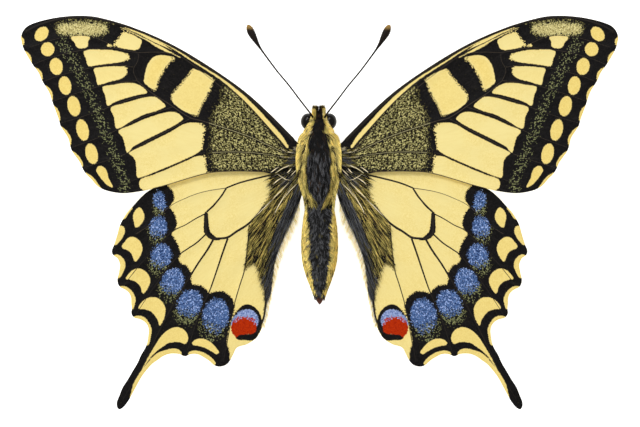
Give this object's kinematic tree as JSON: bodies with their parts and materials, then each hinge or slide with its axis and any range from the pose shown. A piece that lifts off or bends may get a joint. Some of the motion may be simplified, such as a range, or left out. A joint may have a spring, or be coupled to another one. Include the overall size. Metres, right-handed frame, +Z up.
{
  "type": "spread swallowtail butterfly specimen",
  "caption": "Dry swallowtail butterfly with spread, tailed and scalloped wings, clubbed antennae, ringed abdomen and folded legs; lies on its belly.",
  "frame": {"origin": "middle of the thorax's underside, where it rests", "axes": "+X across the wings towards the side on the right in the picture, +Y along the body towards the head, +Z up out of the back"},
  "size_m": [0.0796, 0.0524, 0.0065],
  "materials": {
    "wing_scales": "matt powdery scales, yellow and black with blue and red marks",
    "body_hair": "fine hair, black down the back and gold along the sides",
    "dark_horn": "satin dark horn",
    "compound_eye": "glossy dark brown"
  },
  "bodies": {
    "root": {"head": "body_hair", "eye_left": "compound_eye", "eye_right": "compound_eye", "antenna_left": "dark_horn", "antenna_right": "dark_horn", "palp_left": "body_hair", "palp_right": "body_hair", "proboscis": "dark_horn", "thorax": "body_hair", "abdomen": "body_hair", "forewing_left": "wing_scales", "forewing_right": "wing_scales", "hindwing_left": "wing_scales", "hindwing_right": "wing_scales", "leg_fore_left": "dark_horn", "leg_fore_right": "dark_horn", "leg_mid_left": "dark_horn", "leg_mid_right": "dark_horn", "leg_hind_left": "dark_horn", "leg_hind_right": "dark_horn"}
  },
  "joints": []
}
